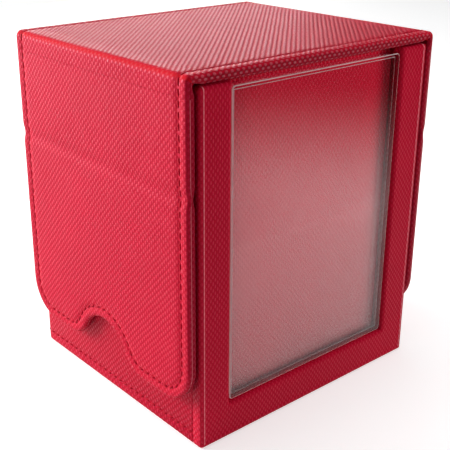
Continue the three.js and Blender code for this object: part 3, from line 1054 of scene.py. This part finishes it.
def clear_plastic():
    """Clear plastic. The rim attribute is 1 on a polished edge, painted with a pale highlight, and -1 on a
    wall seen through.
    """
    n = new_material("clear_plastic")
    haze = n.noise(n.place(), 60.0, 3.0, 0.5)
    rough = n.spread(haze, 0.35, 0.75, 0.02, 0.06)
    coat = {"Coat_Weight": 0.5, "Coat_Roughness": 0.05, "Coat_IOR": 1.45}
    glass = n.shader(Base_Color=(1.0, 1.0, 1.0, 1), Roughness=rough, IOR=1.2, Transmission_Weight=1.0, **coat)
    rim = n.attribute("rim")
    # painted highlight: a pale, pinkish diffuse colour on the polished edges
    painted_highlight = n.shader(Base_Color=n.mix(haze, (0.80, 0.50, 0.52, 1), (0.95, 0.72, 0.74, 1)), Roughness=0.35)
    edged = n.blend(n.spread(rim, 0.0, 1.0, 0.0, 0.9), glass, painted_highlight)
    path = n.add("ShaderNodeLightPath").outputs
    passing = n.math("MAXIMUM", path["Is Shadow Ray"], path["Is Diffuse Ray"])
    passing = n.math("MAXIMUM", passing, n.spread(rim, -0.5, -0.05, 1.0, 0.0))
    clear = n.add("ShaderNodeBsdfTransparent").outputs["BSDF"]
    return n.output(n.blend(passing, edged, clear))


LEATHER = leatherette("red_leatherette", 0.83, 0.10 * MM)
TOP_LEATHER = leatherette("deep_grained_leatherette", 0.86, 0.50 * MM)
# a brighter copy of the leatherette for the panel behind the clear case: painted light, as if that panel were
# lit more
PAINTED_LIGHT_LEATHER = leatherette("painted_light_red_leatherette", 1.12, 0.22 * MM)
THREAD = thread()
LINING = microfibre()
CLEAR = clear_plastic()
GREYBOARD = greyboard()
NICKEL = nickel()

# ---- The CAD nodes, with their procedural finishes ----

FINISHES = (
    # what the node's name holds, and its finish: the last that fits
    ("", LEATHER),
    ("case_", CLEAR),
    ("_board", GREYBOARD),
    ("_rail", GREYBOARD),
    ("magnet", NICKEL),
    ("_lining", LINING),
)

for node_name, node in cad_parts.items():
    finish = [material for part, material in FINISHES if part in node_name][-1]
    for i in range(len(node.data.materials)):
        node.data.materials[i] = finish


def on_body(piece, body, slot, *nodes):
    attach(piece, body)
    if nodes:
        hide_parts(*nodes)


def across(piece, a, b, bend, slot, *nodes):
    """Hides the CAD nodes that the piece stands in for, and bakes the piece's place into its mesh. a and b
    are not used. bend is not used.
    """
    if nodes:
        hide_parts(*nodes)
    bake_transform(piece)


# ---- The lid ----

on_body(add_top_cover("lid_top_skin", TOP_LEATHER), "lid_top", "leatherette", "lid_top_cover")
top_lines = strip_lines([top_station(-TOP_SEAM_X), top_station(TOP_SEAM_X)])
on_body(add_stitching("lid_top_stitching", top_lines, THREAD), "lid_top", "leatherette")
on_body(add_top_lining("lid_top_inner", LINING), "lid_top", "microfibre", "lid_top_lining")


def corner_bend(sign, x, z, reach):
    """Where the bending starts and ends round a fold's corner at (x, z)."""
    return (sign * (x - reach), 0, z), (sign * x, 0, z - reach)


for name, sign, notched in (("opening_flap", -1, True), ("hinge_flap", 1, False)):
    upper, lower = name + "_upper", name + "_lower"
    fold_bend = corner_bend(sign, LID_HALF_W, LID_TOP, FOLD_BLEND)
    inner_bend = corner_bend(sign, FLAP_INNER, LID_UNDER, INNER_BLEND)
    crease_bend = [(sign * LID_HALF_W, 0, CREASE_Z + way * CREASE_BLEND) for way in (1, -1)]
    fold = add_fold(name + "_fold_skin", sign, LEATHER)
    across(fold, "lid_top", upper, fold_bend, "leatherette", name + "_fold_strip")
    fold_inner = add_fold_lining(name + "_fold_inner", sign, LINING)
    across(fold_inner, "lid_top", upper, inner_bend, "microfibre")
    seam = add_stitching(name + "_fold_stitching", strip_lines(fold_stations(sign)), THREAD)
    across(seam, "lid_top", upper, fold_bend, "leatherette")
    skin = add_flap_cover(name + "_skin", sign, notched, LEATHER)
    covers = (upper + "_cover", lower + "_cover", name + "_crease_strip")
    across(skin, upper, lower, crease_bend, "leatherette", *covers)
    inner = add_flap_lining(name + "_inner", sign, notched, LINING)
    across(inner, upper, lower, crease_bend, "microfibre", upper + "_lining", lower + "_lining")
    flap_lines = strip_lines(flap_stations(sign)) + [flap_end_line(sign, notched)]
    flap_seam = add_stitching(name + "_stitching", flap_lines, THREAD)
    across(flap_seam, upper, lower, crease_bend, "leatherette")

# ---- The body and the case ----

wall_nodes = ("left_wall_cover", "right_wall_cover", "back_wall_cover")
on_body(add_wall_wrap("body_wrap", LEATHER), "box", "leatherette", *wall_nodes)
on_body(add_window_frame("window_frame_skin", LEATHER), "box", "leatherette", "window_frame_cover")
backing = add_display_backing("display_backing_skin", PAINTED_LIGHT_LEATHER)
on_body(backing, "box", "leatherette", "display_backing_cover")
base_w, base_d = BODY_HALF_W - BASE_INSET, BODY_HALF_D - BASE_INSET
base_outline = rounded_outline(base_w, -base_d, base_d, BASE_CORNER)
base_edge = round_edge(BASE_ROUND)
base = add_plate("base_skin", base_outline, base_edge, lambda u, v, d: (u, v, d), LEATHER)
on_body(base, "box", "leatherette", "floor_cover")
on_body(add_stitching("body_stitching", [body_stitch_line()], THREAD), "box", "leatherette")


def add_lining(node_name, name, sign, axis):
    """A lining panel in the place of its CAD node, with soft edges, facing into the room.

    It faces along axis (0, 1 or 2 for X, Y or Z), the way that sign says."""
    low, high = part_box(node_name)
    centre = (low + high) / 2
    half = (high - low) / 2
    face = centre[axis] + sign * half[axis]
    if axis == 2:
        outline = rounded_outline(half.x, low.y, high.y, LINING_CORNER)
    else:
        outline = rounded_outline(half[1 - axis], low.z, LINING_TOP, LINING_CORNER)

    def place(u, v, d):
        level = face - sign * d
        if axis == 2:
            return (centre.x + u, v, level)
        return (level, centre.y + u, v) if axis == 0 else (centre.x + u, level, v)

    return add_plate(name, outline, round_edge(LINING_ROUND), place, LINING)


LINED = (("floor", 1, 2), ("left_wall", 1, 0), ("right_wall", -1, 0), ("back_wall", -1, 1),
         ("front_wall", 1, 1))
for name, sign, axis in LINED:
    piece = add_lining(name + "_lining", name + "_inner", sign, axis)
    on_body(piece, "box", "microfibre", name + "_lining")

on_body(add_case_cover("case_cover_shell", CLEAR), "display_case_cover", "clear_plastic", "case_cover")
on_body(add_case_back("case_back_shell", CLEAR), "display_case", "clear_plastic", "case_back")

# ---- Stage, light and camera ----

FLOOR_LEFT, FLOOR_RIGHT = -0.7, 0.8
FLOOR_FRONT, FLOOR_REAR = -0.14, 0.75
FLOOR_CORNER = 0.05
FLOOR_GLOW = 0.50  # a table lit from below, which keeps shadows on it pale
FLOOR_BOUNCE = 0.20  # the part of that glow that reaches the box
GROUND_LIGHT = 1.15  # of the ground beyond the table
CAMERA_PLACE = (-0.1763, -0.2033, 0.1544)
CAMERA_AZIMUTH = math.radians(-40.029)
CAMERA_ELEVATION = math.radians(21.293)  # looking down
CAMERA_LENS = 70.7
CAMERA_SHIFT = (0.0333, -0.0331)


def pale_floor():
    n = new_material("pale_floor")
    cloud = n.noise(n.place(), 1.5, 2.0)
    colour = n.mix(cloud, (0.68, 0.68, 0.685, 1), (0.72, 0.72, 0.72, 1))
    rough = n.spread(cloud, 0.0, 1.0, 0.65, 0.8)
    bounced = n.add("ShaderNodeLightPath").outputs["Is Diffuse Ray"]
    glow = n.spread(bounced, 0.0, 1.0, FLOOR_GLOW, FLOOR_BOUNCE)
    shader = n.shader(Base_Color=colour, Roughness=rough, Specular_IOR_Level=0.2,
                      Emission_Color=(1, 1, 1, 1), Emission_Strength=glow)
    return n.output(shader)


def add_floor():
    """A plain pale table top."""
    bm = bmesh.new()
    half = (FLOOR_RIGHT - FLOOR_LEFT) / 2
    outline = rounded_outline(half, FLOOR_FRONT, FLOOR_REAR, FLOOR_CORNER, 12)
    bm.faces.new([bm.verts.new((FLOOR_LEFT + half + u, v, 0)) for (u, v), _ in outline])
    new_object("studio_floor", bm, pale_floor(), smooth=False)


def add_area(name, place, target, size, power, mirrored=True, diffuse=True):
    light = bpy.data.lights.new(name, "AREA")
    light.shape = "RECTANGLE"
    light.size, light.size_y = size
    light.energy = power
    obj = bpy.data.objects.new(name, light)
    bpy.context.scene.collection.objects.link(obj)
    obj.location = place
    obj.rotation_euler = (Vector(target) - Vector(place)).to_track_quat("-Z", "Y").to_euler()
    obj.visible_glossy = mirrored
    obj.visible_transmission = mirrored
    obj.visible_diffuse = diffuse


def add_world():
    """A dim studio, paler overhead and on the ground beyond the table, and plain white to the camera."""
    bpy.context.scene.world = bpy.data.worlds.new("studio")
    n = Nodes(bpy.context.scene.world)
    side, _, height = n.split(n.add("ShaderNodeTexCoord").outputs["Generated"])
    overhead = n.spread(height, 0.0, 0.6, 0.03, 0.26, smooth=True)
    ground = n.spread(height, -0.35, -0.22, GROUND_LIGHT, 0.0, smooth=True)
    ground = n.times(ground, n.spread(side, 0.60, 0.68, 0.80, 1.0, smooth=True))
    ground = n.times(ground, n.spread(height, -0.52, -0.42, 0.82, 1.0, smooth=True))
    room = n.add("ShaderNodeBackground")
    n.link(n.math("ADD", overhead, ground), room.inputs["Color"])
    white = n.add("ShaderNodeBackground")
    white.inputs["Color"].default_value = (1.0, 1.0, 1.0, 1)
    to_camera = n.add("ShaderNodeLightPath").outputs["Is Camera Ray"]
    n.output(n.blend(to_camera, room.outputs[0], white.outputs[0]), "World")


def add_camera():
    data = bpy.data.cameras.new("photo_camera")
    camera = bpy.data.objects.new("photo_camera", data)
    bpy.context.scene.collection.objects.link(camera)
    camera.location = CAMERA_PLACE
    camera.rotation_euler = (QUARTER - CAMERA_ELEVATION, 0, CAMERA_AZIMUTH)
    data.sensor_width = 36
    data.lens = CAMERA_LENS
    data.shift_x, data.shift_y = CAMERA_SHIFT
    data.clip_start = 0.01
    data.clip_end = 50
    bpy.context.scene.camera = camera


add_floor()
add_area("key_left_rear", (-0.48, 0.70, 0.30), (0, 0, 0.06), (0.5, 0.4), 13.6)
add_area("rim_rear", (0.42, 1.05, 0.30), (0, 0, 0.10), (1.1, 0.4), 10.0, diffuse=False)
add_area("top_soft", (-0.1, 0.1, 1.1), (0, 0, 0.05), (0.7, 0.7), 4.6)
add_area("fill_right_front", (0.27, -0.24, 0.16), (0.02, 0, 0.05), (0.14, 0.12), 0.60, mirrored=False)
add_world()
add_camera()
bpy.context.scene.view_settings.view_transform = "Standard"
